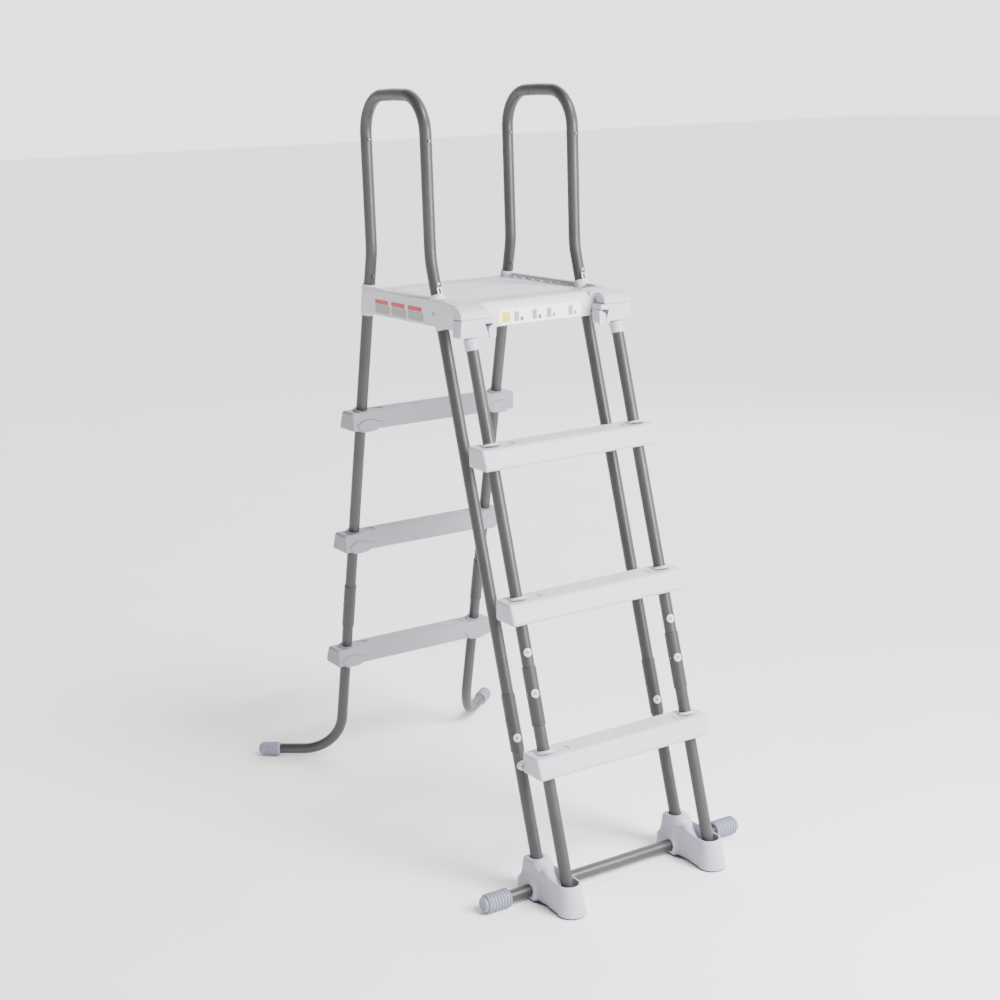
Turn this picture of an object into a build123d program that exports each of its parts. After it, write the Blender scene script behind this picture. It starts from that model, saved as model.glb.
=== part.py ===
from build123d import *
import math
import os

os.makedirs("parts", exist_ok=True)

# A-frame ladder for an above-ground pool. Millimetres, +Z up, floor at z = 0.
# +X runs along the treads, -Y is the outside with the removable step ladder,
# +Y is the pool side. The origin lies on the floor, midway between the toes
# of the front boots and the tips of the rear foot caps.

# ---- driving dimensions -------------------------------------------------
leg_x = 180.0            # side plane of every leg tube
platform_y = 30.0        # middle of the platform
post_half_gap = 127.5    # handrail posts stand this far from the middle
bend_z = 1276.0          # where a post bends into its slanted leg
front_slope = 0.282      # front leg, run over rise
rear_slope = 0.234       # rear leg, run over rise
ladder_gap = 105.4       # step ladder stands this far in front of the legs

tube_r, tube_bore = 12.7, 11.5
sleeve_r, sleeve_bore = 14.4, 12.8
spigot_r, spigot_bore = 11.4, 10.2
socket_bore = 12.8

bow_joint_z = 1500.0     # handrail bow meets its posts
bow_top_z = 1603.5
bow_crown = 3.0
bow_corner_r = 80.0
spigot_length = 22.0

front_sleeve = (288.0, 404.0)
rear_sleeve = (367.0, 474.0)
ladder_sleeve = (371.0, 486.0)

front_tread_tops = (918.0, 618.0, 318.0)
rear_tread_tops = (911.0, 611.0, 311.0)
tread_half = 216.0
tread_height = 43.0
tread_inner, tread_outer, tread_toe = 24.0, 29.0, 46.0

deck_z = 1190.0          # deck surface
rim_z = 1198.0           # side rims and socket mouths
skirt_z = 1142.0         # lower edge of the skirt
skirt_x = 196.0
fascia_y = platform_y - 250.0
rear_edge_y = platform_y + 163.0

bar_z = 20.0
bar_y = platform_y - 488.0
bar_end_x = 327.0
foot_cap_r = 17.0
foot_length = 210.0
foot_splay = math.radians(48.0)
foot_drop = 0.038          # the foot runs slightly downhill to its tip
foot_bend_r = 115.0

button_r, button_hole_r = 3.0, 3.08


# ---- leg lines and directions --------------------------------------------
def front_leg_y(z):
    return platform_y - post_half_gap - front_slope * (bend_z - z)


def ladder_leg_y(z):
    return front_leg_y(z) - ladder_gap


def rear_leg_y(z):
    return platform_y + post_half_gap + rear_slope * (bend_z - z)


front_dir = Vector(0, front_slope, 1).normalized()
rear_dir = Vector(0, -rear_slope, 1).normalized()
# Unit vectors square to the leg tubes that point to the outside (-Y).
front_face_dir = Vector(0, -1, front_slope).normalized()
rear_face_dir = Vector(0, -1, -rear_slope).normalized()
left_dir = Vector(-1, 0, 0)


def heel_point(side):
    """Where the rear leg's line meets its splayed foot's line."""
    z = foot_cap_r - 0.55 + foot_length * foot_drop
    return Vector(side * leg_x, rear_leg_y(z), z)


def save(builder, name):
    builder.part.label = name
    export_step(builder.part, f"parts/{name}.step")


def side_name(side):
    return "left" if side < 0 else "right"


# ---- tubes ---------------------------------------------------------------
def make_tube(points, bends=None, outer=tube_r, bore=tube_bore, holes=(), bevel=0):
    """Round tube along points; each hole is (centre, direction, radius)."""
    with BuildPart() as tube:
        with BuildLine():
            if len(points) > 2:
                route = FilletPolyline(*points, radius=bends)
            else:
                route = Line(*points)
        with BuildSketch(Plane(origin=route @ 0, z_dir=route % 0)):
            Circle(outer)
            Circle(bore, mode=Mode.SUBTRACT)
        sweep()
        if bevel:
            rims = tube.edges().filter_by(GeomType.CIRCLE).filter_by(lambda e: e.radius > outer - 0.1)
            chamfer(rims, bevel)
        for centre, direction, radius in holes:
            with BuildSketch(Plane(origin=centre, z_dir=direction)):
                Circle(radius)
            extrude(amount=2 * outer, mode=Mode.SUBTRACT)
    return tube


def make_upper_tube(x, leg_y, post_y, low_z, holes):
    """Leg above the sleeve, run through the platform and handrail post."""
    points = [(x, leg_y(low_z), low_z), (x, post_y, bend_z), (x, post_y, bow_joint_z)]
    shoulder = 4.0
    with BuildPart() as tube:
        with BuildLine():
            route = FilletPolyline(*points, radius=150)
        with BuildSketch(Plane(origin=route @ 0, z_dir=route % 0)):
            Circle(tube_r)
            Circle(tube_bore, mode=Mode.SUBTRACT)
        sweep()
        with BuildSketch(Plane.XY.offset(bow_joint_z - shoulder)):
            with Locations((x, post_y)):
                Circle((tube_r + tube_bore) / 2)
                Circle(spigot_bore, mode=Mode.SUBTRACT)
        extrude(amount=shoulder)
        with BuildSketch(Plane.XY.offset(bow_joint_z - shoulder)):
            with Locations((x, post_y)):
                Circle(spigot_r)
                Circle(spigot_bore, mode=Mode.SUBTRACT)
        extrude(amount=shoulder + spigot_length)
        for centre, direction, radius in holes:
            with BuildSketch(Plane(origin=centre, z_dir=direction)):
                Circle(radius)
            extrude(amount=2 * tube_r, mode=Mode.SUBTRACT)
    return tube


bow_button_z = bow_joint_z + 14.0
lock_button_z = 1224.0
screw_z = 1168.0
buttons = {}


def sleeve_button_z(sleeve):
    return (sleeve[0] + sleeve[1]) / 2 + 5


def tube_meeting_z(sleeve):
    return sleeve_button_z(sleeve) - 20


for side in (-1, 1):
    x = side * leg_x
    name = side_name(side)
    for end, leg_y, sleeve, face_dir in (
        ("front", front_leg_y, front_sleeve, front_face_dir),
        ("rear", rear_leg_y, rear_sleeve, rear_face_dir),
    ):
        post_y = leg_y(bend_z)
        meet_z = tube_meeting_z(sleeve)
        snap_z = sleeve_button_z(sleeve)
        snap = Vector(x, leg_y(snap_z), snap_z)
        lock = Vector(x, leg_y(lock_button_z), lock_button_z)
        bow = Vector(x, post_y, bow_button_z)
        screw = Vector(x, leg_y(screw_z), screw_z)
        holes = [
            (snap, left_dir, button_hole_r),
            (lock, face_dir, button_hole_r),
            (bow, Vector(0, -1, 0), button_hole_r),
        ]
        if end == "front":
            holes.append((screw, Vector(side, 0, 0), 2.0))
        upper = make_upper_tube(x, leg_y, post_y, meet_z + 0.5, holes)
        save(upper, f"{end}_upper_tube_{name}")
        coupling = make_tube(
            [(x, leg_y(z), z) for z in sleeve],
            outer=sleeve_r, bore=sleeve_bore, holes=[(snap, left_dir, button_hole_r)], bevel=0.8,
        )
        save(coupling, f"{end}_leg_sleeve_{name}")
        buttons[f"{end}_leg_button_{name}"] = (snap, left_dir, sleeve_r)
        buttons[f"platform_lock_button_{end}_{name}"] = (lock, face_dir, tube_r + 1.2)
        buttons[f"handrail_button_{end}_{name}"] = (bow, Vector(0, -1, 0), tube_r)

    # Handrail bow: an inverted U with a slightly crowned top.
    front_y, rear_y = front_leg_y(bend_z), rear_leg_y(bend_z)
    low_z = bow_joint_z + 0.2
    bow_points = [
        (x, front_y, low_z), (x, front_y, bow_top_z),
        (x, platform_y, bow_top_z + bow_crown),
        (x, rear_y, bow_top_z), (x, rear_y, low_z),
    ]
    bow_holes = [
        (Vector(x, y, bow_button_z), Vector(0, -1, 0), button_hole_r)
        for y in (front_y, rear_y)
    ]
    bow = make_tube(bow_points, [bow_corner_r, 900, bow_corner_r], holes=bow_holes)
    save(bow, f"handrail_bow_{name}")

    # Lower front leg ends just above the cross bar, inside the boot.
    leg_foot_z = bar_z + tube_r + 6
    meet_z = tube_meeting_z(front_sleeve)
    lower = make_tube([(x, front_leg_y(z), z) for z in (leg_foot_z, meet_z)])
    save(lower, f"front_lower_leg_{name}")

    # Lower rear leg: a J that splays outwards along the floor.
    foot_dir = Vector(
        side * math.sin(foot_splay), math.cos(foot_splay), -foot_drop
    ).normalized()
    tip = heel_point(side) + foot_dir * foot_length
    meet_z = tube_meeting_z(rear_sleeve)
    lower = make_tube(
        [(x, rear_leg_y(meet_z), meet_z), heel_point(side), tip - foot_dir * 12], foot_bend_r
    )
    save(lower, f"rear_lower_leg_{name}")

    # Ribbed rear foot cap with a domed end.
    cap_length, dome = 57.0, 14.0
    with BuildPart() as cap:
        with BuildSketch(Plane(
            origin=tip, x_dir=foot_dir, z_dir=foot_dir.cross(Vector(0, 0, 1)).normalized(),
        )):
            with BuildLine():
                Polyline(
                    (-10, 0), (-10, tube_r + 0.1), (-cap_length, tube_r + 0.1),
                    (-cap_length, foot_cap_r - 3.5), (-cap_length + 4, foot_cap_r),
                    (-dome, foot_cap_r),
                )
                ThreePointArc((-dome, foot_cap_r), (-4.2, 11.8), (0, 3))
                Polyline((0, 3), (0, 0), (-10, 0))
            make_face()
            for ring in range(6):
                with Locations((-dome - 6 - 6 * ring, foot_cap_r)):
                    Circle(1.5, mode=Mode.SUBTRACT)
        revolve(axis=Axis(tip, foot_dir))
    save(cap, f"rear_foot_cap_{name}")

    # Step ladder: lower and upper rails joined by a sleeve.
    leg_low_z, rail_top_z = 24.0, 1134.0
    meet_z, snap_z = tube_meeting_z(ladder_sleeve), sleeve_button_z(ladder_sleeve)
    snap = Vector(x, ladder_leg_y(snap_z), snap_z)
    hole = [(snap, left_dir, button_hole_r)]
    rail = make_tube([(x, ladder_leg_y(z), z) for z in (leg_low_z, meet_z)])
    save(rail, f"ladder_lower_rail_{name}")
    rail = make_tube([(x, ladder_leg_y(z), z) for z in (meet_z + 0.5, rail_top_z)], holes=hole)
    save(rail, f"ladder_upper_rail_{name}")
    coupling = make_tube(
        [(x, ladder_leg_y(z), z) for z in ladder_sleeve],
        outer=sleeve_r, bore=sleeve_bore, holes=hole, bevel=0.8,
    )
    save(coupling, f"ladder_rail_sleeve_{name}")
    buttons[f"ladder_rail_button_{name}"] = (snap, left_dir, sleeve_r)

# Cross bar through both boots, with a ribbed plug cap at each end.
bar = make_tube([(-bar_end_x + 20, bar_y, bar_z), (bar_end_x - 20, bar_y, bar_z)])
save(bar, "cross_bar")

for side in (-1, 1):
    cap_length, ring_pitch, button_end_r = 60.0, 7.0, 15.5
    with BuildPart() as cap:
        with BuildSketch(
            Plane(origin=(side * bar_end_x, bar_y, bar_z), x_dir=(side, 0, 0), z_dir=(0, 0, 1))
        ):
            with BuildLine():
                Polyline(
                    (-16, 0), (-16, tube_r + 0.1), (-cap_length, tube_r + 0.1),
                    (-cap_length, bar_z - 1.5), (-cap_length + 1.5, bar_z), (-8.5, bar_z),
                    (-7, bar_z - 1.5), (-6.5, button_end_r), (-1.6, button_end_r),
                    (0, button_end_r - 1.6), (0, button_end_r - 5), (-1.2, button_end_r - 7),
                    (-1.2, 0), (-16, 0),
                )
            make_face()
            for ring in range(7):
                with Locations((-12.5 - ring_pitch * ring, bar_z)):
                    Circle(1.9, mode=Mode.SUBTRACT)
        revolve(axis=Axis((0, bar_y, bar_z), (1, 0, 0)))
    save(cap, f"bar_end_cap_{side_name(side)}")

# Snap buttons: a domed pin, a stop flange and the moving arm of its leaf
# spring, inside the tube. Pressing one moves it towards the tube's middle.
for name, (centre, direction, outer) in buttons.items():
    along = front_dir
    if "rear" in name:
        along = rear_dir
    if name.startswith("handrail"):
        along = Vector(0, 0, 1)
    spigot_joint = name.startswith("handrail")
    flange_at = 6.6 if spigot_joint else 8.0
    with BuildPart() as button:
        with BuildSketch(Plane(origin=centre, z_dir=direction).offset(flange_at)):
            Circle(button_r)
        extrude(amount=outer + 2.4 - flange_at)
        fillet(button.edges().sort_by(Axis(centre, direction))[-1], 1.6)
        with BuildSketch(Plane(origin=centre, z_dir=direction).offset(flange_at - 1)):
            Circle(4.2)
        extrude(amount=1.2)
        arm_plane = Plane(origin=centre, x_dir=along, z_dir=direction)
        with BuildSketch(arm_plane.offset(flange_at - 1.8)):
            Rectangle(34, 5)
        extrude(amount=0.9)
    save(button, name)


# ---- platform ------------------------------------------------------------
deck_half = skirt_x - 15
socket_r, socket_low_r = 16.0, 15.2
lug_inner, lug_outer = 155.0, 161.0
lug_low_z, lug_top_z, lug_depth = 1143.0, 1160.5, 20.0
leg_places = (
    ("front", front_leg_y, front_dir, front_face_dir, 1133.0),
    ("rear", rear_leg_y, rear_dir, rear_face_dir, 1136.0),
)

with BuildPart() as platform:
    # Outer block, with a rounded nose along the middle of the front edge.
    with BuildSketch(Plane.YZ):
        with BuildLine():
            nose = 20.0
            Polyline(
                (fascia_y, rim_z - 4 - nose), (fascia_y, skirt_z), (rear_edge_y, skirt_z),
                (rear_edge_y, deck_z), (fascia_y + nose, rim_z - 4),
            )
            RadiusArc((fascia_y, rim_z - 4 - nose), (fascia_y + nose, rim_z - 4), nose)
        make_face()
    extrude(amount=skirt_x, both=True)
    # Deck surface is level with the rear edge and dips behind the nose.
    with BuildSketch(Plane.XY.offset(deck_z)):
        with Locations((0, (fascia_y + 34 + rear_edge_y + 20) / 2)):
            RectangleRounded(2 * deck_half - 16, rear_edge_y + 20 - fascia_y - 34, 6)
    extrude(amount=20, mode=Mode.SUBTRACT)
    # Side rims.
    with BuildSketch(Plane.XY.offset(deck_z - 6)):
        for side in (-1, 1):
            with Locations((side * (skirt_x - 8), (fascia_y + rear_edge_y) / 2)):
                Rectangle(16, rear_edge_y - fascia_y)
    extrude(amount=rim_z - deck_z + 6)
    # Square corner pads behind the latch covers.
    with BuildSketch(Plane.XY.offset(1158)):
        for side in (-1, 1):
            with Locations((side * (skirt_x - 32), fascia_y + 20)):
                Rectangle(64, 40)
    extrude(amount=rim_z - 1158)
    # The front of the rims and pads slopes down to the latch covers.
    with BuildSketch(Plane.YZ):
        with BuildLine():
            Polyline(
                (fascia_y + 72, rim_z + 1), (fascia_y - 1, rim_z - 7),
                (fascia_y - 1, rim_z + 20), (fascia_y + 72, rim_z + 20), close=True,
            )
        make_face()
    extrude(amount=skirt_x + 1, both=True, mode=Mode.SUBTRACT)
    rim_edges = [
        edge for edge in platform.edges()
        if abs(edge.center().X) > skirt_x - 1 and edge.center().Z > rim_z - 7
        and abs((edge % 0.5).Y) > 0.9
    ]
    fillet(rim_edges, 5)
    # Round the rear corners in plan.
    corner_r = 14.0
    with BuildSketch(Plane.XY.offset(1120)):
        with BuildLine():
            Polyline(
                (-skirt_x, rear_edge_y - corner_r), (-skirt_x, fascia_y),
                (skirt_x, fascia_y), (skirt_x, rear_edge_y - corner_r),
            )
            RadiusArc(
                (skirt_x, rear_edge_y - corner_r), (skirt_x - corner_r, rear_edge_y), -corner_r
            )
            Line((skirt_x - corner_r, rear_edge_y), (corner_r - skirt_x, rear_edge_y))
            RadiusArc(
                (corner_r - skirt_x, rear_edge_y), (-skirt_x, rear_edge_y - corner_r), -corner_r
            )
        make_face()
    extrude(amount=100, mode=Mode.INTERSECT)
    # Hollow underside with a grid of ribs.
    for side in (-1, 1):
        for column in range(3):
            for row in range(4):
                bay_x, bay_y = 47.0, 78.0
                with BuildSketch(Plane.XY.offset(1130)):
                    with Locations((
                        side * (26.5 + 50 * column), fascia_y + 65 + (bay_y + 3) * row,
                    )):
                        Rectangle(bay_x, bay_y)
                extrude(amount=deck_z - 4 - 1130, mode=Mode.SUBTRACT)
    # Leg sockets: slanted collars round each tube.
    for end, leg_y, leg_dir, face_dir, low_z in leg_places:
        for side in (-1, 1):
            mouth = Vector(side * leg_x, leg_y(rim_z + 1), rim_z + 1)
            with BuildSketch(Plane(origin=mouth, z_dir=-leg_dir)):
                Circle(socket_r)
            extrude(amount=50)
            with BuildSketch(Plane(origin=mouth, z_dir=-leg_dir)):
                Circle(socket_low_r)
            extrude(amount=(rim_z + 1 - low_z) / leg_dir.Z)
            # Conical lip round the post.
            with BuildSketch(Plane(origin=mouth - leg_dir, z_dir=leg_dir)):
                Circle(socket_r - 0.2)
            extrude(amount=6, taper=12)
    # Latch lugs on the fascia hold the step ladder.
    with BuildSketch(Plane.XY.offset(lug_low_z)):
        for side in (-1, 1):
            with Locations((side * (lug_inner + lug_outer) / 2, fascia_y - lug_depth / 2 + 1)):
                Rectangle(lug_outer - lug_inner, lug_depth + 2)
    extrude(amount=lug_top_z - lug_low_z)
    # Tongues in front of the front posts, slotted, under the lock buttons.
    for side in (-1, 1):
        root = Vector(side * leg_x, front_leg_y(rim_z), rim_z)
        tongue = Plane(origin=root, x_dir=(1, 0, 0), z_dir=front_face_dir)
        with BuildSketch(tongue.offset(tube_r + 0.4)):
            with Locations((0, 7)):
                RectangleRounded(11, 26, 2)
            with Locations((0, 12)):
                RectangleRounded(4.6, 11, 1.5, mode=Mode.SUBTRACT)
        extrude(amount=2.4)
    # Tube bores, screw holes and recesses.
    for end, leg_y, leg_dir, face_dir, low_z in leg_places:
        for side in (-1, 1):
            with BuildSketch(Plane(
                origin=(side * leg_x, leg_y(1100), 1100), z_dir=leg_dir,
            )):
                Circle(socket_bore)
            extrude(amount=115, mode=Mode.SUBTRACT)
    screw_y = front_leg_y(screw_z)
    for side in (-1, 1):
        with BuildSketch(Plane(origin=(side * leg_x, screw_y, screw_z), z_dir=(side, 0, 0))):
            Circle(2.0)
        extrude(amount=30, mode=Mode.SUBTRACT)
        with BuildSketch(Plane(
            origin=(side * (skirt_x - 1.6), screw_y, screw_z), z_dir=(side, 0, 0),
        )):
            Circle(5)
        extrude(amount=5, mode=Mode.SUBTRACT)
    # Small stiffening blocks along the foot of each side rim.
    with BuildSketch(Plane.XY.offset(deck_z - 1)):
        for side in (-1, 1):
            with Locations((side * (deck_half - 10), platform_y)):
                with GridLocations(0, 36, 1, 7):
                    Rectangle(5, 20)
    extrude(amount=4.2)
    # Oval holes in the fascia beside the latches.
    with BuildSketch(Plane.XZ.offset(-fascia_y + 1)):
        for side in (-1, 1):
            with Locations((side * 139, 1151.5)):
                SlotOverall(10, 7)
    extrude(amount=-9, mode=Mode.SUBTRACT)
    # Fine grip ribs across the deck.
    with BuildSketch(Plane.XY.offset(deck_z - 0.5)):
        with Locations((0, platform_y - 28)):
            with GridLocations(0, 8, 1, 34):
                Rectangle(290, 2.6)
    extrude(amount=1.4)
save(platform, "platform")

with BuildPart() as screws:
    for side in (-1, 1):
        seat = Plane(origin=(side * (skirt_x - 1.6), screw_y, screw_z), z_dir=(side, 0, 0))
        with BuildSketch(seat):
            Circle(4.4)
        extrude(amount=2.2)
        with BuildSketch(seat):
            Circle(1.9)
        extrude(amount=-8)
        with BuildSketch(seat.offset(1.2)):
            Rectangle(5, 1.1)
            Rectangle(1.1, 5)
        extrude(amount=2, mode=Mode.SUBTRACT)
save(screws, "platform_screws")


# ---- treads --------------------------------------------------------------
# Outline of a locking clip on the tread's inner face: distance from the
# middle of the ladder, and depth below the tread top.
clip_outline = (
    (206, 27), (196, 23.5), (190.5, 18.3), (181, 17.5), (161, 19.5), (154, 23.5),
    (140, 25.5), (142, 31.5), (147.5, 39), (157, 45.5), (175, 47), (193, 46), (201, 38),
)
clip_depth, clip_proud = 27.0, 2.5


def clip_sketch(side, top_z, grow):
    with BuildSketch(Plane.XZ) as outline:
        with BuildLine():
            Polyline(*[(side * u, top_z - d) for u, d in clip_outline], close=True)
        make_face()
        if grow:
            offset(amount=grow, kind=Kind.INTERSECTION)
    return outline


def make_tread(top_z, leg_y, leg_dir, outward, eyelet=False):
    leg = leg_y(top_z)

    def at(inset_in, inset_out, drop):
        """Points of the section, inset from its faces and starting drop below the top."""
        slope = (tread_toe - tread_outer) / tread_height
        low = tread_height + (1 if drop else 0)
        return [
            (leg - outward * (tread_inner - inset_in), top_z - drop),
            (leg + outward * (tread_outer - inset_out + slope * drop), top_z - drop),
            (leg + outward * (tread_outer - inset_out + slope * low), top_z - low),
            (leg - outward * (tread_inner - inset_in), top_z - low),
        ]

    inner_y = leg - outward * tread_inner
    with BuildPart() as tread:
        with BuildSketch(Plane.YZ) as section:
            with BuildLine():
                Polyline(*at(0, 0, 0), close=True)
            make_face()
            outer_top = section.vertices().group_by(Axis.Y)[-1].sort_by(
                Axis.X if outward > 0 else -Axis.X
            )[-1]
            fillet(outer_top, 9)
            fillet(section.vertices().group_by(Axis.Y)[0], 6)
        extrude(amount=tread_half, both=True)
        ends = tread.faces().filter_by(Axis.X)
        fillet(ends.edges().filter_by(GeomType.LINE), 5.5)
        # Bays between the underside ribs.
        bay, bay_pitch = 42.0, 45.0
        for column in range(6):
            with BuildSketch(Plane.YZ.offset(-133.5 + bay_pitch * column)):
                with BuildLine():
                    Polyline(*at(3, 4, 4), close=True)
                make_face()
            extrude(amount=bay, mode=Mode.SUBTRACT)
        for side in (-1, 1):
            # Conical boss and tube bore, a shallow round pad and the clip's pocket.
            boss_z = top_z - 1
            with BuildSketch(Plane(
                origin=(side * leg_x, leg_y(boss_z), boss_z), z_dir=leg_dir,
            )):
                Circle(21.5)
            extrude(amount=5, taper=42)
            with BuildSketch(Plane(
                origin=(side * leg_x, leg_y(top_z - 60), top_z - 60), z_dir=leg_dir,
            )):
                Circle(socket_bore)
            extrude(amount=90, mode=Mode.SUBTRACT)
            with BuildSketch(Plane.XY.offset(top_z - 1.6)):
                with Locations((side * 137, leg + outward * 4)):
                    Circle(13)
            extrude(amount=6, mode=Mode.SUBTRACT)
            pocket = clip_sketch(side, top_z, 0.4)
            with BuildSketch(Plane.XZ.offset(-inner_y)):
                add(pocket.sketch)
            extrude(amount=-outward * (clip_depth - clip_proud), mode=Mode.SUBTRACT)
        if eyelet:
            # Loop at the lower left corner of the inner face.
            with BuildSketch(Plane.XZ.offset(-(inner_y + outward * 4))):
                with Locations((-tread_half - 2, top_z - 28)):
                    Circle(8.7)
            extrude(amount=outward * 9)
            with BuildSketch(Plane.XZ.offset(-(inner_y + outward * 4))):
                with Locations((-tread_half - 2, top_z - 28)):
                    Circle(3.5)
            extrude(amount=outward * 10, mode=Mode.SUBTRACT)
    return tread


def make_clips(tops, leg_y, leg_dir, outward):
    """The locking clips that close the tube notches, two to a tread."""
    with BuildPart() as clips:
        for top_z in tops:
            inner_y = leg_y(top_z) - outward * (tread_inner + clip_proud)
            for side in (-1, 1):
                outline = clip_sketch(side, top_z, 0)
                with BuildSketch(Plane.XZ.offset(-inner_y)):
                    add(outline.sketch)
                extrude(amount=-outward * clip_depth)
                front = clips.faces().filter_by(
                    lambda f: abs(f.center().Y - inner_y) < 0.01 and f.center().X * side > 0
                )
                chamfer(front.edges(), clip_proud - 0.3)
                with BuildSketch(Plane(
                    origin=(side * leg_x, leg_y(top_z - 60), top_z - 60), z_dir=leg_dir,
                )):
                    Circle(socket_bore)
                extrude(amount=90, mode=Mode.SUBTRACT)
    return clips


for place, front_top, rear_top in zip(("top", "middle", "bottom"), front_tread_tops, rear_tread_tops):
    front = make_tread(front_top, ladder_leg_y, front_dir, -1, eyelet=place == "bottom")
    save(front, f"front_tread_{place}")
    save(make_tread(rear_top, rear_leg_y, rear_dir, 1), f"rear_tread_{place}")
save(make_clips(front_tread_tops, ladder_leg_y, front_dir, -1), "front_tread_clips")
save(make_clips(rear_tread_tops, rear_leg_y, rear_dir, 1), "rear_tread_clips")


# ---- latch housings, covers, levers ---------------------------------------
box_inner, box_outer = 132.0, 212.0
cover_inner, cover_outer = 142.0, 208.5
box_rear_y, box_front_y = fascia_y - 8.0, fascia_y - 39.0
box_low_z, box_top_z = 1130.0, 1167.5
cover_top_z = 1191.0
lever_pin_x, lever_pin_z, lever_pin_r = 138.0, 1133.0, 2.0
cheek_y = box_rear_y - 5.0


def side_outline(side, points):
    """Closed outline of (distance from the middle, height) points, mirrored by side."""
    with BuildSketch(Plane.XZ) as outline:
        with BuildLine():
            Polyline(*[(side * u, z) for u, z in points], close=True)
        make_face()
    return outline.sketch


def block(side, inner, outer, front, rear):
    """Rectangle in plan between two distances from the middle and two depths."""
    with Locations((side * (inner + outer) / 2, (front + rear) / 2)):
        Rectangle(outer - inner, rear - front)


for side in (-1, 1):
    name = side_name(side)
    rail_low = Plane(
        origin=(side * leg_x, ladder_leg_y(1090), 1090), z_dir=front_dir
    )
    with BuildPart() as housing:
        with BuildSketch(Plane.XZ.offset(-box_rear_y)):
            add(side_outline(side, (
                (box_inner, box_low_z), (box_outer, box_low_z + 1),
                (cover_outer, box_top_z), (box_inner, box_top_z),
            )))
        extrude(amount=box_rear_y - box_front_y)
        fillet(housing.edges().filter_by(Axis.Y), 3.5)
        fillet(housing.faces().sort_by(Axis.Y)[0].edges(), 2.5)
        # Open corner for the lever, cut back behind a wedge-shaped gap.
        with BuildSketch(Plane.XZ.offset(-cheek_y)):
            add(side_outline(side, (
                (120, 1120), (144, 1120), (144, 1130), (153, 1157), (120, 1157),
            )))
        extrude(amount=60, mode=Mode.SUBTRACT)
        # Slot that drops over the platform's lug, and the rail's blind bore.
        with BuildSketch(Plane.XY.offset(1120)):
            block(side, lug_inner - 0.8, lug_outer + 0.8, fascia_y - lug_depth - 1, fascia_y)
        extrude(amount=lug_top_z + 0.5 - 1120, mode=Mode.SUBTRACT)
        with BuildSketch(rail_low):
            Circle(socket_bore)
        extrude(amount=(rail_top_z + 1 - 1090) / front_dir.Z, mode=Mode.SUBTRACT)
        # Bore for the lever pin in the rear cheek.
        with BuildSketch(Plane.XZ.offset(-fascia_y)):
            with Locations((side * lever_pin_x, lever_pin_z)):
                Circle(lever_pin_r + 0.02)
        extrude(amount=16, mode=Mode.SUBTRACT)
    save(housing, f"latch_housing_{name}")

    with BuildPart() as cover:
        with BuildSketch(Plane.YZ.offset(side * cover_inner)):
            with BuildLine():
                Polyline(
                    (box_front_y, 1172), (box_front_y, box_top_z + 0.7),
                    (box_rear_y, box_top_z + 0.7), (box_rear_y, cover_top_z),
                    (box_rear_y - 8, cover_top_z - 0.8),
                )
                RadiusArc((box_rear_y - 8, cover_top_z - 0.8), (box_front_y, 1172), -22)
            make_face()
        extrude(amount=side * (cover_outer - cover_inner))
        fillet(cover.faces().filter_by(Axis.X).edges(), 1.8)
        with BuildSketch(Plane.XY.offset(box_top_z)):
            block(side, cover_inner + 4, cover_outer - 4, box_front_y + 5, box_rear_y - 4)
        extrude(amount=11, mode=Mode.SUBTRACT)
    save(cover, f"latch_cover_{name}")

    # Thumb lever: pulling its lower end outwards swings its top to the middle.
    with BuildPart() as lever:
        with BuildSketch(Plane.XZ.offset(-(cheek_y - 0.5))) as face:
            add(side_outline(side, (
                (128, 1127.5), (143, 1127.5), (143.2, 1132.5), (145, 1141),
                (143, 1149), (133, 1155.5), (128, 1155.5),
            )))
            outer_low = face.vertices().sort_by_distance((side * 143, 1127.5))[0]
            fillet(outer_low, 4.6)
            inner_low = face.vertices().sort_by_distance((side * 128, 1127.5))[0]
            fillet(inner_low, 5)
        extrude(amount=cheek_y - 0.5 - box_front_y + 0.5)
        with BuildSketch(Plane.XZ.offset(-fascia_y)):
            with Locations((side * lever_pin_x, lever_pin_z)):
                Circle(lever_pin_r + 0.06)
        extrude(amount=34, mode=Mode.SUBTRACT)
        # Grip grooves on the thumb face.
        for groove in range(4):
            with BuildSketch(Plane.XY.offset(1138 + 3.5 * groove)):
                block(side, 127, 128.8, box_front_y + 4, cheek_y - 4)
            extrude(amount=1.4, mode=Mode.SUBTRACT)
    save(lever, f"latch_lever_{name}")


with BuildPart() as pins:
    with BuildSketch(Plane.XZ.offset(-(box_rear_y - 0.5))):
        for side in (-1, 1):
            with Locations((side * lever_pin_x, lever_pin_z)):
                Circle(lever_pin_r)
    extrude(amount=24)
save(pins, "lever_pins")

# Conical collars on the rails, under the housings.
with BuildPart() as collars:
    for side in (-1, 1):
        for z, radius in ((1104, 14.0), (1126, 15.4)):
            with BuildSketch(Plane(
                origin=(side * leg_x, ladder_leg_y(z), z), z_dir=front_dir,
            )):
                Circle(radius)
        loft()
        with BuildSketch(Plane(
            origin=(side * leg_x, ladder_leg_y(1090), 1090), z_dir=front_dir,
        )):
            Circle(socket_bore)
        extrude(amount=60, mode=Mode.SUBTRACT)
save(collars, "rail_collars")


# ---- boots and their soles --------------------------------------------------
boot_rear_y = platform_y - 440.0
toe_y = -(heel_point(1).Y + foot_length * math.cos(foot_splay))
sole_z = 2.4
cup_z, tower_z = 64.0, 77.5
well_r = 20.5


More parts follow.
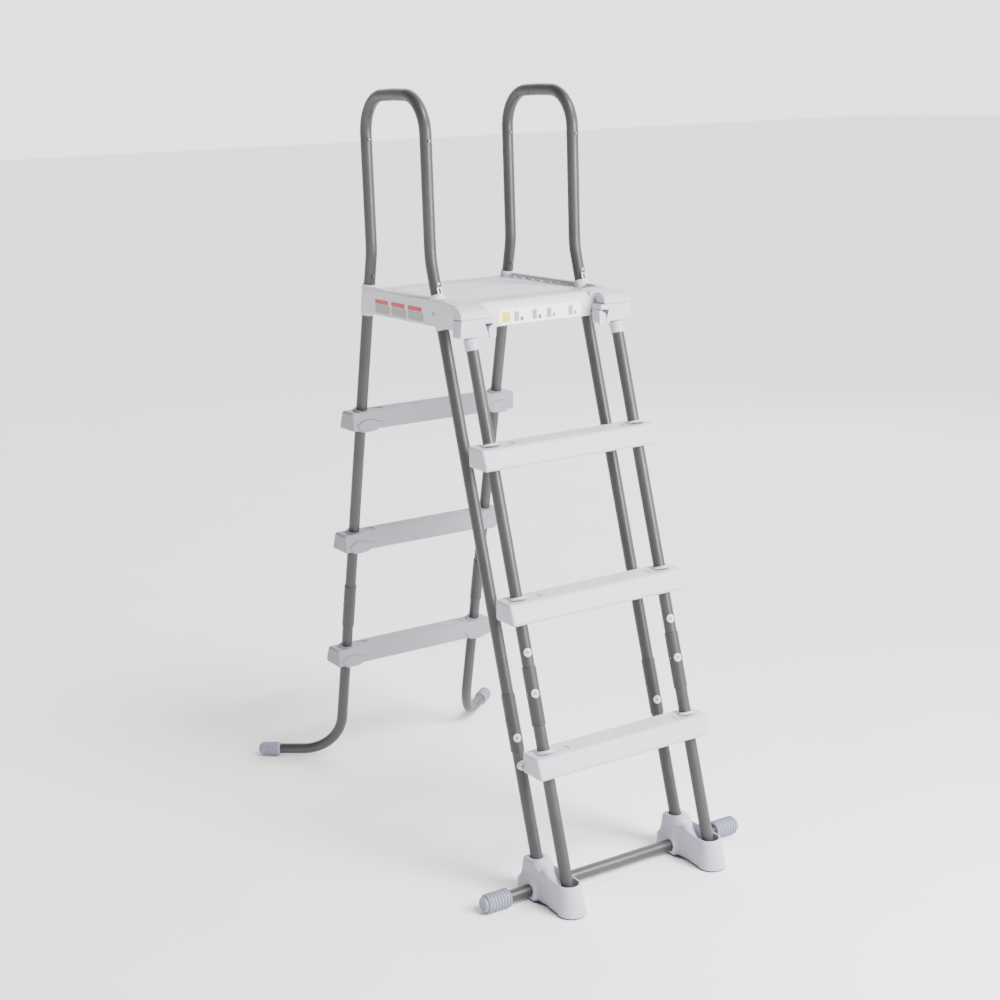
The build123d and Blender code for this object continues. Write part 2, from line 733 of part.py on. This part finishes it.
def sole_sketch(side, grow, front):
    """Plan of the boot about its leg: wide heel, narrow waist, round toe."""
    x = side * leg_x
    right = [
        (x + 37 + grow, boot_rear_y + grow), (x + 37 + grow, boot_rear_y - 66),
        (x + 24.5 + grow, boot_rear_y - 96), (x + 28 + grow, boot_rear_y - 140),
    ]
    left = [(2 * x - px, py) for px, py in right]
    with BuildSketch() as plan:
        with BuildLine():
            Polyline(*right)
            Polyline(*left)
            Line(right[0], left[0])
            ThreePointArc(right[-1], (x, front - grow), left[-1])
        make_face()
        fillet(plan.vertices().filter_by(lambda v: v.Y > boot_rear_y - 70), 8)
    return plan.sketch


with BuildPart() as soles:
    with BuildSketch():
        for side in (-1, 1):
            add(sole_sketch(side, -0.8, toe_y + 1.6))
    extrude(amount=sole_z)
save(soles, "boot_soles")

for side in (-1, 1):
    x = side * leg_x
    # Well for the rail: round at the toe and sloping up to the tower at its rear.
    with BuildPart() as well:
        with BuildSketch(Plane.YZ.offset(x - well_r)):
            with BuildLine():
                Polyline(
                    (boot_rear_y - 162, cup_z + 20), (boot_rear_y - 162, 19),
                    (boot_rear_y - 118, 19), (boot_rear_y - 96, 30),
                )
                ThreePointArc(
                    (boot_rear_y - 96, 30), (boot_rear_y - 70, 46), (boot_rear_y - 56, 72)
                )
                Polyline(
                    (boot_rear_y - 56, 72), (boot_rear_y - 54, cup_z + 20),
                    (boot_rear_y - 162, cup_z + 20),
                )
            make_face()
        extrude(amount=2 * well_r)
        with BuildSketch():
            with Locations((x, boot_rear_y - 141)):
                Circle(well_r)
            with Locations((x, boot_rear_y - 91)):
                Rectangle(2 * well_r, 100)
        extrude(amount=cup_z + 30, mode=Mode.INTERSECT)
    with BuildPart() as boot:
        # Heel block that the cross bar runs through.
        with BuildSketch(Plane.XY.offset(sole_z)):
            with Locations((x, boot_rear_y - 34)):
                RectangleRounded(74, 68, 8)
        extrude(amount=33, taper=4)
        # Shoe: low wall round the step ladder's rail, its front sloping back.
        with BuildSketch(Plane.XY.offset(sole_z)):
            with BuildLine():
                Polyline(
                    (x - 28, boot_rear_y - 140), (x - 24.5, boot_rear_y - 96),
                    (x - 30, boot_rear_y - 40), (x + 30, boot_rear_y - 40),
                    (x + 24.5, boot_rear_y - 96), (x + 28, boot_rear_y - 140),
                )
                ThreePointArc(
                    (x + 28, boot_rear_y - 140), (x, toe_y), (x - 28, boot_rear_y - 140)
                )
            make_face()
        with BuildSketch(Plane.XY.offset(cup_z)):
            with BuildLine():
                Polyline(
                    (x - 24.5, boot_rear_y - 140), (x - 23.5, boot_rear_y - 96),
                    (x - 24, boot_rear_y - 40), (x + 24, boot_rear_y - 40),
                    (x + 23.5, boot_rear_y - 96), (x + 24.5, boot_rear_y - 140),
                )
                ThreePointArc(
                    (x + 24.5, boot_rear_y - 140), (x, boot_rear_y - 165),
                    (x - 24.5, boot_rear_y - 140),
                )
            make_face()
        loft()
        # Tower round the fixed leg.
        with BuildSketch(Plane.XY.offset(sole_z + 20)):
            with Locations((x, boot_rear_y - 32)):
                RectangleRounded(62, 60, 10)
        with BuildSketch(Plane.XY.offset(tower_z)):
            with Locations((x, boot_rear_y - 29)):
                RectangleRounded(48, 46, 10)
        loft()
        fillet(boot.faces().sort_by(Axis.Z)[-1].edges(), 4)
        add(well.part, mode=Mode.SUBTRACT)
        # Bores for the fixed leg and the cross bar.
        with BuildSketch(Plane(
            origin=(x, front_leg_y(bar_z + tube_r + 5.3), bar_z + tube_r + 5.3),
            z_dir=front_dir,
        )):
            Circle(socket_bore)
        extrude(amount=60, mode=Mode.SUBTRACT)
        with BuildSketch(Plane.YZ.offset(x - 60)):
            with Locations((bar_y, bar_z)):
                Circle(socket_bore)
        extrude(amount=120, mode=Mode.SUBTRACT)
    save(boot, f"front_boot_{side_name(side)}")

print("boot toe y", round(toe_y, 2), "pieces", len(os.listdir("parts")))
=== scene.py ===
import math

import bmesh
import bpy
from mathutils import Matrix, Vector


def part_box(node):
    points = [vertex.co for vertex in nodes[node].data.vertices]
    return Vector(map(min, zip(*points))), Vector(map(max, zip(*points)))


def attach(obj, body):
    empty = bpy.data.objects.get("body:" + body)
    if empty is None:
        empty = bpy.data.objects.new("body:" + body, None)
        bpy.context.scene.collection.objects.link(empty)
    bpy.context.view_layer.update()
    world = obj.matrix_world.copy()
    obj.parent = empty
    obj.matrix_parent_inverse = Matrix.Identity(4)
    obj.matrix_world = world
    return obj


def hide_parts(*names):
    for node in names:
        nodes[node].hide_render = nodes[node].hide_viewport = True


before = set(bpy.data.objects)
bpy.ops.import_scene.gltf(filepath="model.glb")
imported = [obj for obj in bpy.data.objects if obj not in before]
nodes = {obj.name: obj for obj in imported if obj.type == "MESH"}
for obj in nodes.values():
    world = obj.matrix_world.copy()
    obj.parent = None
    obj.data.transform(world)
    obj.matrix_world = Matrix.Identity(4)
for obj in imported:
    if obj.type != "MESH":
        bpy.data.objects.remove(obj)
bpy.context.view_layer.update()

# Pool ladder: materials for every node, softer boots, labels, stickers, floor and light.
# Lengths are in metres; noise scales are cells in a metre.


# ---- colours and node helpers -----------------------------------------------------
def linear(*srgb):
    """sRGB values from 0 to 255 as a linear colour with alpha."""
    def one(value):
        value /= 255
        return value / 12.92 if value <= 0.04045 else ((value + 0.055) / 1.055) ** 2.4
    return (*[one(v) for v in srgb], 1.0)


def scaled(colour, share):
    """A linear colour made darker or lighter."""
    return tuple(min(1.0, share * c) for c in colour[:3]) + (1.0,)


class Shader:
    """A Principled material and short calls that add nodes to it."""

    def __init__(self, name):
        self.material = bpy.data.materials.new(name)
        self.material.use_nodes = True
        self.tree = self.material.node_tree
        self.surface = self.tree.nodes["Principled BSDF"]
        self.place = self.add("ShaderNodeTexCoord").outputs["Object"]

    def add(self, kind, **values):
        node = self.tree.nodes.new(kind)
        for key, value in values.items():
            if key in node.inputs:
                node.inputs[key].default_value = value
            else:
                setattr(node, key, value)
        return node

    def link(self, source, target):
        self.tree.links.new(source, target)

    def set(self, **values):
        """Uniform numbers straight onto the Principled sockets."""
        for key, value in values.items():
            self.surface.inputs[key.replace("_", " ")].default_value = value

    def stretched(self, scale):
        mapping = self.add("ShaderNodeMapping", Scale=scale)
        self.link(self.place, mapping.inputs["Vector"])
        return mapping.outputs["Vector"]

    def noise(self, scale, detail=3.0, roughness=0.5, vector=None):
        node = self.add("ShaderNodeTexNoise", Scale=scale, Detail=detail, Roughness=roughness)
        self.link(vector or self.place, node.inputs["Vector"])
        return node.outputs["Fac"]

    def ramp(self, factor, low, high, first, second):
        """A number that goes from first to second as factor goes from low to high."""
        spread = self.add("ShaderNodeMapRange")
        for socket, value in (
            ("From Min", low), ("From Max", high), ("To Min", first), ("To Max", second),
        ):
            spread.inputs[socket].default_value = value
        self.link(factor, spread.inputs["Value"])
        return spread.outputs["Result"]

    def blend(self, factor, low, high, first, second):
        """Two colours mixed as factor goes from low to high."""
        mix = self.add("ShaderNodeMix", data_type="RGBA")
        self.link(self.ramp(factor, low, high, 0.0, 1.0), mix.inputs["Factor"])
        for value, name in ((first, "A"), (second, "B")):
            socket = next(s for s in mix.inputs if s.name == name and s.type == "RGBA")
            if hasattr(value, "is_linked"):
                self.link(value, socket)
            else:
                socket.default_value = value
        return next(s for s in mix.outputs if s.type == "RGBA")

    def colour(self, socket):
        self.link(socket, self.surface.inputs["Base Color"])

    def roughness(self, factor, low, high, first, second):
        self.link(self.ramp(factor, low, high, first, second), self.surface.inputs["Roughness"])

    def bump(self, height, distance, strength, under=None):
        node = self.add("ShaderNodeBump", Distance=distance, Strength=strength)
        self.link(height, node.inputs["Height"])
        if under is not None:
            self.link(under, node.inputs["Normal"])
        self.link(node.outputs["Normal"], self.surface.inputs["Normal"])


# ---- materials --------------------------------------------------------------------
def moulding(name, base, tint, rough=0.42, grain=0.00004):
    """Satin moulding: faint flow variation, fine spark-eroded grain."""
    s = Shader(name)
    flow = s.noise(9.0, 2.0)
    fine = s.noise(60.0, 3.0)
    broad = s.blend(flow, 0.3, 0.7, base, tint)
    s.colour(s.blend(fine, 0.35, 0.85, broad, scaled(base, 0.965)))
    s.roughness(s.noise(35.0, 4.0), 0.3, 0.7, rough - 0.05, rough + 0.07)
    s.bump(s.noise(900.0, 2.0, 0.6), grain, 0.5)
    s.set(Specular_IOR_Level=0.4)
    return s


def moulded_plastic(name, base, tint, **finish):
    return moulding(name, base, tint, **finish).material


def ink(name, base, tint):
    """Printed ink, smoother than the moulding under it."""
    return moulded_plastic(name, base, tint, rough=0.34, grain=0.00001)


def deck_plastic(name, base, tint, streak_and_shade_colour):
    """The same moulding; its level top is darker, partly a streaky anti-slip grain and partly
    painted shade.
    """
    s = moulding(name, base, tint)
    facing = s.add("ShaderNodeSeparateXYZ")
    s.link(s.add("ShaderNodeNewGeometry").outputs["Normal"], facing.inputs["Vector"])
    level_top = s.ramp(facing.outputs["Z"], 0.93, 0.985, 0.0, 1.0)
    streaks = s.noise(1.0, 4.0, 0.6, s.stretched((9, 120, 28)))
    # Mask of the darkening on the level top: the streaky grain plus an even painted shade.
    streak_and_shade = s.add("ShaderNodeMath", operation="MULTIPLY")
    s.link(level_top, streak_and_shade.inputs[0])
    s.link(s.ramp(streaks, 0.38, 0.66, 0.25, 1.0), streak_and_shade.inputs[1])
    plain = s.surface.inputs["Base Color"].links[0].from_socket
    s.colour(s.blend(streak_and_shade.outputs["Value"], 0.0, 1.0, plain, streak_and_shade_colour))
    grain = s.surface.inputs["Normal"].links[0].from_socket
    s.bump(streak_and_shade.outputs["Value"], 0.0003, 0.5, grain)
    return s.material


def powder_coat(name, base, light):
    """Grey powder coat with fine metal flake and faint orange peel."""
    s = Shader(name)
    flake = s.noise(2600.0, 1.0)
    broad = s.noise(7.0, 2.0)
    tone = s.blend(broad, 0.3, 0.7, base, light)
    s.colour(s.blend(flake, 0.6, 0.8, tone, scaled(light, 1.5)))
    s.roughness(s.noise(40.0, 3.0), 0.3, 0.7, 0.34, 0.46)
    s.bump(s.noise(420.0, 2.0), 0.00003, 0.6)
    s.set(Metallic=0.35, Specular_IOR_Level=0.5)
    return s.material


def brushed_metal(name, base):
    """Bare metal with fine brushed lines."""
    s = Shader(name)
    lines = s.noise(300.0, 3.0, vector=s.stretched((1, 1, 12)))
    s.colour(s.blend(lines, 0.3, 0.7, base, scaled(base, 0.8)))
    s.roughness(lines, 0.3, 0.7, 0.25, 0.42)
    s.bump(lines, 0.00002, 0.5)
    s.set(Metallic=1.0)
    return s.material


def rubber(name, base):
    """Matt rubber with a coarse grain."""
    s = Shader(name)
    grain = s.noise(500.0, 4.0)
    s.colour(s.blend(grain, 0.3, 0.7, base, scaled(base, 1.6)))
    s.roughness(grain, 0.3, 0.7, 0.7, 0.9)
    s.bump(grain, 0.0002, 0.6)
    return s.material


tube_paint = powder_coat("tube_paint", linear(62, 61, 62), linear(71, 70, 71))
sleeve_paint = powder_coat("sleeve_paint", linear(58, 57, 58), linear(67, 66, 67))
# The deck's level top carries painted shade as well as its streaky grain.
platform_plastic = deck_plastic(
    "platform_plastic", linear(199, 199, 205), linear(194, 194, 201), linear(154, 155, 161)
)
white_plastic = moulded_plastic("white_plastic", linear(187, 188, 195), linear(182, 183, 191))
# Rear treads: a darker copy of the tread moulding, the darkening being painted shade on the same
# white plastic.
rear_plastic = moulded_plastic("rear_plastic", linear(139, 139, 147), linear(133, 133, 142))
latch_plastic = moulded_plastic("latch_plastic", linear(187, 187, 195), linear(182, 182, 191))
foot_plastic = moulded_plastic(
    "foot_plastic", linear(178, 178, 190), linear(172, 172, 185), rough=0.48
)
cap_plastic = moulded_plastic(
    "cap_plastic", linear(134, 135, 152), linear(127, 128, 146), rough=0.5
)
button_plastic = moulded_plastic(
    "button_plastic", linear(206, 206, 208), linear(200, 200, 203), rough=0.3
)
film = moulded_plastic(
    "label_film", linear(234, 235, 236), linear(230, 231, 233), rough=0.3, grain=0.00001
)
print_red = ink("print_red", linear(170, 38, 38), linear(182, 56, 54))
print_grey = ink("print_grey", linear(138, 138, 136), linear(152, 152, 149))
print_yellow = ink("print_yellow", linear(206, 190, 0), linear(212, 198, 8))
print_green = ink("print_green", linear(96, 150, 62), linear(112, 162, 80))
steel = brushed_metal("steel", linear(170, 170, 170))
dull_steel = brushed_metal("dull_steel", linear(112, 112, 112))
sole_rubber = rubber("sole_rubber", linear(58, 62, 72))


def finish_of(name):
    """The material of a node, from its name; the first match counts."""
    if name.startswith("platform_lock_button_front"):
        return button_plastic
    if "button" in name:
        return dull_steel
    if name in ("platform_screws", "lever_pins"):
        return steel
    if name == "boot_soles":
        return sole_rubber
    if "foot_cap" in name or "end_cap" in name:
        return cap_plastic
    if "boot" in name:
        return foot_plastic
    # The rear treads get the copy with painted shade.
    if name.startswith("rear_tread"):
        return rear_plastic
    if "latch" in name or "collar" in name:
        return latch_plastic
    if name == "platform":
        return platform_plastic
    if "tread" in name:
        return white_plastic
    if "sleeve" in name:
        return sleeve_paint
    return tube_paint


for name, node in nodes.items():
    node.data.materials.clear()
    node.data.materials.append(finish_of(name))


# ---- mesh helpers -----------------------------------------------------------------
def in_scene(name, data):
    """A new object with this data, linked to the scene."""
    made = bpy.data.objects.new(name, data)
    bpy.context.scene.collection.objects.link(made)
    return made


def mesh_of(name, points, faces):
    mesh = bpy.data.meshes.new(name)
    mesh.from_pydata(points, [], faces)
    return mesh


def new_piece(name, points, faces, material, body, smooth=True):
    """A visual piece that rides on a body, with its faces turned outward."""
    mesh = mesh_of(name, points, faces)
    mesh.validate()
    shell = bmesh.new()
    shell.from_mesh(mesh)
    bmesh.ops.recalc_face_normals(shell, faces=shell.faces)
    shell.to_mesh(mesh)
    shell.free()
    mesh.materials.append(material)
    for polygon in mesh.polygons:
        polygon.use_smooth = smooth
    piece = in_scene(name, mesh)
    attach(piece, body)
    return piece


def turn(i, count):
    """Angle of step i out of count in a full turn."""
    return 2 * math.pi * i / count


def side_label(side):
    return "left" if side < 0 else "right"


def rings_mesh(rings):
    """Closed skin over a stack of rings with as many points each."""
    count = len(rings[0])
    points = [point for ring in rings for point in ring]
    faces = []
    for level in range(len(rings) - 1):
        for i in range(count):
            a, b = level * count + i, level * count + (i + 1) % count
            faces.append((a, b, b + count, a + count))
    faces.append(tuple(reversed(range(count))))
    faces.append(tuple(range((len(rings) - 1) * count, len(rings) * count)))
    return points, faces


def oval(centre, half_x, half_y, power):
    """Level superellipse ring."""
    count = 48
    ring = []
    for i in range(count):
        c, s = math.cos(turn(i, count)), math.sin(turn(i, count))
        ring.append((
            centre[0] + half_x * math.copysign(abs(c) ** (2 / power), c),
            centre[1] + half_y * math.copysign(abs(s) ** (2 / power), s),
            centre[2],
        ))
    return ring


# ---- the front legs' line ---------------------------------------------------------
front_slope = 0.282
tube_along = (0.0, front_slope, 1.0)
tube_r, sleeve_r = 0.0127, 0.0144
leg_x, leg_top_z = 0.18, 1.276
post_middle_y, post_half_gap = 0.030, 0.1275
rail_ahead = Vector((0, -0.1054, 0))


def front_leg(side, z):
    """Middle of a fixed front leg at a height."""
    leg_top_y = post_middle_y - post_half_gap
    return Vector((leg_x * side, leg_top_y - front_slope * (leg_top_z - z), z))


# ---- boots: softened mouldings with a pillow-shaped buttress ----------------------
socket_r, socket_foot_z, socket_length = 0.0128, 0.038, 0.060
boot_voxel, relax_share, relax_rounds = 0.0013, 0.5, 15
shoulder_middle, shoulder_power, lobe_power = 0.033, 5.0, 2.2

# Rings of the shoulder round the tower: height, half width and half depth.
shoulder_rings = (
    (0.024, 0.0350, 0.0310), (0.037, 0.0345, 0.0308),
    (0.043, 0.0312, 0.0295), (0.052, 0.0280, 0.0275),
)
# Rings of the lobe in front: distance from the boot's rear, then the same three.
lobe_rings = (
    (0.078, 0.022, 0.0185, 0.0220), (0.071, 0.036, 0.0178, 0.0210),
    (0.061, 0.050, 0.0165, 0.0190), (0.052, 0.062, 0.0145, 0.0150),
    (0.046, 0.068, 0.0120, 0.0090),
)


def bore_cutter(side, name):
    """Cylinder along the leg, the size of its socket in the boot."""
    along = Vector(tube_along).normalized()
    across = Vector((1, 0, 0))
    deep = along.cross(across)
    count = 64
    rings = []
    for reach in (0.0, socket_length):
        middle = front_leg(side, socket_foot_z) + along * reach
        angles = [turn(i, count) for i in range(count)]
        rings.append([
            tuple(middle + socket_r * (across * math.cos(a) + deep * math.sin(a)))
            for a in angles
        ])
    return in_scene(name, mesh_of(name, *rings_mesh(rings)))


def soft_boot(side):
    """The boot's solid, joined to its rounder parts, then remeshed and relaxed."""
    label = side_label(side)
    source = nodes[f"front_boot_{label}"]
    low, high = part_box(f"front_boot_{label}")
    x, rear = (low[0] + high[0]) / 2, high[1]
    shoulder = [
        oval((x, rear - shoulder_middle, z), half_x, half_y, shoulder_power)
        for z, half_x, half_y in shoulder_rings
    ]
    lobe = [
        oval((x, rear - ahead, z), half_x, half_y, lobe_power)
        for ahead, z, half_x, half_y in lobe_rings
    ]
    joined = bmesh.new()
    joined.from_mesh(source.data)
    for rings in (shoulder, lobe):
        points, faces = rings_mesh(rings)
        verts = [joined.verts.new(point) for point in points]
        for face in faces:
            joined.faces.new([verts[i] for i in face])
    bmesh.ops.recalc_face_normals(joined, faces=joined.faces)
    rough = bpy.data.meshes.new(f"boot_rough_{label}")
    joined.to_mesh(rough)
    joined.free()
    holder = in_scene(f"boot_holder_{label}", rough)
    remesh = holder.modifiers.new("remesh", "REMESH")
    remesh.mode, remesh.voxel_size = "VOXEL", boot_voxel
    relax = holder.modifiers.new("relax", "SMOOTH")
    relax.factor, relax.iterations = relax_share, relax_rounds
    # The shoulder closed the leg's socket, so it is bored out again.
    cutter = bore_cutter(side, f"boot_cutter_{label}")
    bore = holder.modifiers.new("bore", "BOOLEAN")
    bore.operation, bore.solver, bore.object = "DIFFERENCE", "EXACT", cutter
    depsgraph = bpy.context.evaluated_depsgraph_get()
    soft = bpy.data.meshes.new_from_object(holder.evaluated_get(depsgraph))
    points = [tuple(v.co) for v in soft.vertices]
    faces = [tuple(p.vertices) for p in soft.polygons]
    cut_mesh = cutter.data
    for helper in (holder, cutter):
        bpy.data.objects.remove(helper)
    for mesh in (rough, cut_mesh, soft):
        bpy.data.meshes.remove(mesh)
    piece = new_piece(
        f"boot_shell_{label}", points, faces, foot_plastic, "frame"
    )
    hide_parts(f"front_boot_{label}")


for side in (-1, 1):
    soft_boot(side)


# ---- labels: plain film with blocks of colour -------------------------------------
def plate(name, corner, across, size, thick, material):
    """Thin upright plate with rounded corners, from its lower corner along across."""
    across, up = Vector(across), Vector((0, 0, 1))
    out = across.cross(up)
    width, height = size
    corner_share, corner_steps = 0.18, 4
    radius = min(width, height) * corner_share
    outline = []
    for cx, cy, start in (
        (width - radius, height - radius, 0), (radius, height - radius, 90),
        (radius, radius, 180), (width - radius, radius, 270),
    ):
        for step in range(corner_steps + 1):
            angle = math.radians(start + 90 / corner_steps * step)
            outline.append((cx + radius * math.cos(angle), cy + radius * math.sin(angle)))
    rings = [
        [tuple(Vector(corner) + across * a + up * b + out * depth) for a, b in outline]
        for depth in (0.0, thick)
    ]
    points, faces = rings_mesh(rings)
    new_piece(name, points, faces, material, "frame", smooth=False)


# The film starts just inside the moulding, and the marks on the film's face.
film_sunk, film_thick, mark_thick = 0.00004, 0.00025, 0.00012

fascia_y = -0.220
film_y = fascia_y + film_sunk
to_right = (1, 0, 0)
plate("label_front", (-0.095, film_y, 1.1435), to_right, (0.205, 0.0315), film_thick, film)
mark_foot_z = 1.1485
mark_kinds = {
    "yellow": ((0.020, 0.020), print_yellow), "grey": ((0.011, 0.020), print_grey),
    "red": ((0.007, 0.008), print_red), "green": ((0.005, 0.009), print_green),
}
front_marks = (
    ("yellow", -0.088), ("grey_a", -0.058), ("red_a", -0.043), ("grey_b", -0.014),
    ("red_b", 0.001), ("grey_c", 0.022), ("green_c", 0.037), ("grey_d", 0.076),
    ("green_d", 0.091),
)
for name, x in front_marks:
    size, mark_ink = mark_kinds[name.split("_")[0]]
    plate(f"label_front_{name}", (x, film_y - film_thick, mark_foot_z), to_right, size,
          mark_thick, mark_ink)

platform_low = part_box("platform")[0]
side_x = platform_low[0] + film_sunk
to_outside = (0, -1, 0)
first_label_y, label_pitch = 0.122, 0.072
bar_foot_z, bar_size = 1.1672, (0.058, 0.0095)
block_foot_z, block_size = 1.1475, (0.064, 0.0185)
for i in range(3):
    start_y = first_label_y - label_pitch * i
    plate(f"label_side_bar_{i}", (side_x, start_y, bar_foot_z), to_outside, bar_size,
          film_thick, print_red)
    plate(f"label_side_block_{i}", (side_x, start_y, block_foot_z), to_outside, block_size,
          film_thick, print_grey)


# ---- round stickers on the tubes --------------------------------------------------
disc_r = 0.0088
# Share of the radius, height above the tube and material of each layer.
disc_layers = ((1.0, 0.00025, button_plastic), (0.42, 0.0004, print_grey))
disc_facing = (-0.25, -1, 0)


def sticker(name, foot, tube_radius, body):
    """Closed thin discs wrapped round a tube, one for each layer."""
    along = Vector(tube_along).normalized()
    facing = Vector(disc_facing)
    facing = (facing - along * facing.dot(along)).normalized()
    across = along.cross(facing)

    def spot(reach, angle, lift):
        wrap = reach * math.cos(angle) / tube_radius
        far = tube_radius + lift
        out = facing * (far * math.cos(wrap)) + across * (far * math.sin(wrap))
        return tuple(Vector(foot) + along * (reach * math.sin(angle)) + out)

    steps, spokes, sunk = 6, 36, -0.0002
    for share, height, material in disc_layers:
        reaches = [disc_r * share * (step + 1) / steps for step in range(steps)]
        rows = [(reach, height) for reach in reaches]
        rows += [(reach, sunk) for reach in reversed(reaches)]
        points = [spot(0, 0, height)]
        for reach, lift in rows:
            points += [spot(reach, turn(i, spokes), lift) for i in range(spokes)]
        points.append(spot(0, 0, sunk))
        last, low_row = len(points) - 1, 1 + (len(rows) - 1) * spokes
        faces = []
        for i in range(spokes):
            j = (i + 1) % spokes
            faces.append((0, 1 + i, 1 + j))
            faces.append((last, low_row + j, low_row + i))
            for row in range(len(rows) - 1):
                start = 1 + row * spokes
                faces.append((start + i, start + spokes + i, start + spokes + j, start + j))
        new_piece(f"{name}_{material.name}", points, faces, material, body)


for side in (-1, 1):
    for z, radius in ((0.514, tube_r), (0.434, sleeve_r)):
        sticker(f"disc_ladder_{side_label(side)}_{round(z * 1000)}",
                front_leg(side, z) + rail_ahead, radius, "step_ladder")
for side, z, radius in ((-1, 0.316, sleeve_r), (-1, 0.262, tube_r), (1, 0.318, sleeve_r)):
    sticker(f"disc_leg_{side_label(side)}_{round(z * 1000)}", front_leg(side, z), radius, "frame")


# ---- floor ------------------------------------------------------------------------
floor_half, floor_z = 40.0, -0.0005
floor_corners = [
    (x * floor_half, y * floor_half, floor_z) for x, y in ((-1, -1), (1, -1), (1, 1), (-1, 1))
]
floor_mesh = mesh_of("floor", floor_corners, [(0, 1, 2, 3)])
floor = in_scene("floor", floor_mesh)
floor_look = Shader("floor_look")
floor_look.colour(floor_look.blend(
    floor_look.noise(3.0), 0.3, 0.7, linear(251, 251, 251), linear(248, 248, 249)
))
floor_look.set(Roughness=0.8, Specular_IOR_Level=0.1)
floor_mesh.materials.append(floor_look.material)


# ---- lights -----------------------------------------------------------------------
def soft_light(name, place, aim, size, watts):
    """A rectangular area light turned toward a point."""
    data = bpy.data.lights.new(name, "AREA")
    data.shape = "RECTANGLE"
    data.size, data.size_y = size
    data.energy = watts
    light = in_scene(name, data)
    light.location = place
    light.rotation_euler = (Vector(aim) - Vector(place)).to_track_quat("-Z", "Y").to_euler()


# A broad distant key from the front and above keeps the whole floor evenly pale.
key_data = bpy.data.lights.new("key", "SUN")
key_data.energy, key_data.angle = 5.0, math.radians(24)
key = in_scene("key", key_data)
key.rotation_euler = Vector((0.2, -0.6, 0.78)).to_track_quat("Z", "Y").to_euler()
soft_light("front", place=(0.9, -2.3, 1.55), aim=(0, -0.4, 0.8), size=(1.0, 1.0), watts=115)
soft_light("rim", place=(3.6, 2.6, 2.6), aim=(0, 0, 0.8), size=(1.6, 2.4), watts=60)

# The sky is bright behind the ladder and to its right, dim above on its left,
# and pale all round the horizon.
world = bpy.data.worlds.new("world")
world.use_nodes = True
sky = world.node_tree
bright_toward = (0.9, 0.45, 0.1)
dim_sky, bright_sky, pale_horizon = 0.12, 2.6, 1.1


def sky_node(kind, source=None, **values):
    node = sky.nodes.new(kind)
    for name, value in values.items():
        node.inputs[name.replace("_", " ")].default_value = value
    if source is not None:
        sky.links.new(source, node.inputs[0])
    return node


toward = sky_node("ShaderNodeTexCoord").outputs["Generated"]
bright_side = sky_node("ShaderNodeVectorMath", toward)
bright_side.operation = "DOT_PRODUCT"
bright_side.inputs[1].default_value = bright_toward
strength = sky_node(
    "ShaderNodeMapRange", bright_side.outputs["Value"],
    From_Min=0.25, From_Max=0.6, To_Min=dim_sky, To_Max=bright_sky,
)
up = sky_node("ShaderNodeSeparateXYZ", toward)
horizon = sky_node(
    "ShaderNodeMapRange", up.outputs["Z"],
    From_Min=0.3, From_Max=0.6, To_Min=pale_horizon, To_Max=0.0,
)
brighter = sky_node("ShaderNodeMath", strength.outputs["Result"])
brighter.operation = "MAXIMUM"
sky.links.new(horizon.outputs["Result"], brighter.inputs[1])
background = sky.nodes["Background"]
background.inputs["Color"].default_value = (1.0, 1.0, 1.0, 1.0)
sky.links.new(brighter.outputs["Value"], background.inputs["Strength"])
bpy.context.scene.world = world


# ---- camera -----------------------------------------------------------------------
camera_place = (-1.943, -3.161, 1.6357)
heading, tilt, roll = math.radians(-31.98), math.radians(-13.88), math.radians(-1.81)
camera_data = bpy.data.cameras.new("camera")
camera_data.lens, camera_data.sensor_width = 61.67, 36.0
camera = in_scene("camera", camera_data)
camera.matrix_world = (
    Matrix.Translation(camera_place)
    @ Matrix.Rotation(heading, 4, "Z")
    @ Matrix.Rotation(math.pi / 2 + tilt, 4, "X")
    @ Matrix.Rotation(roll, 4, "Z")
)
bpy.context.scene.camera = camera
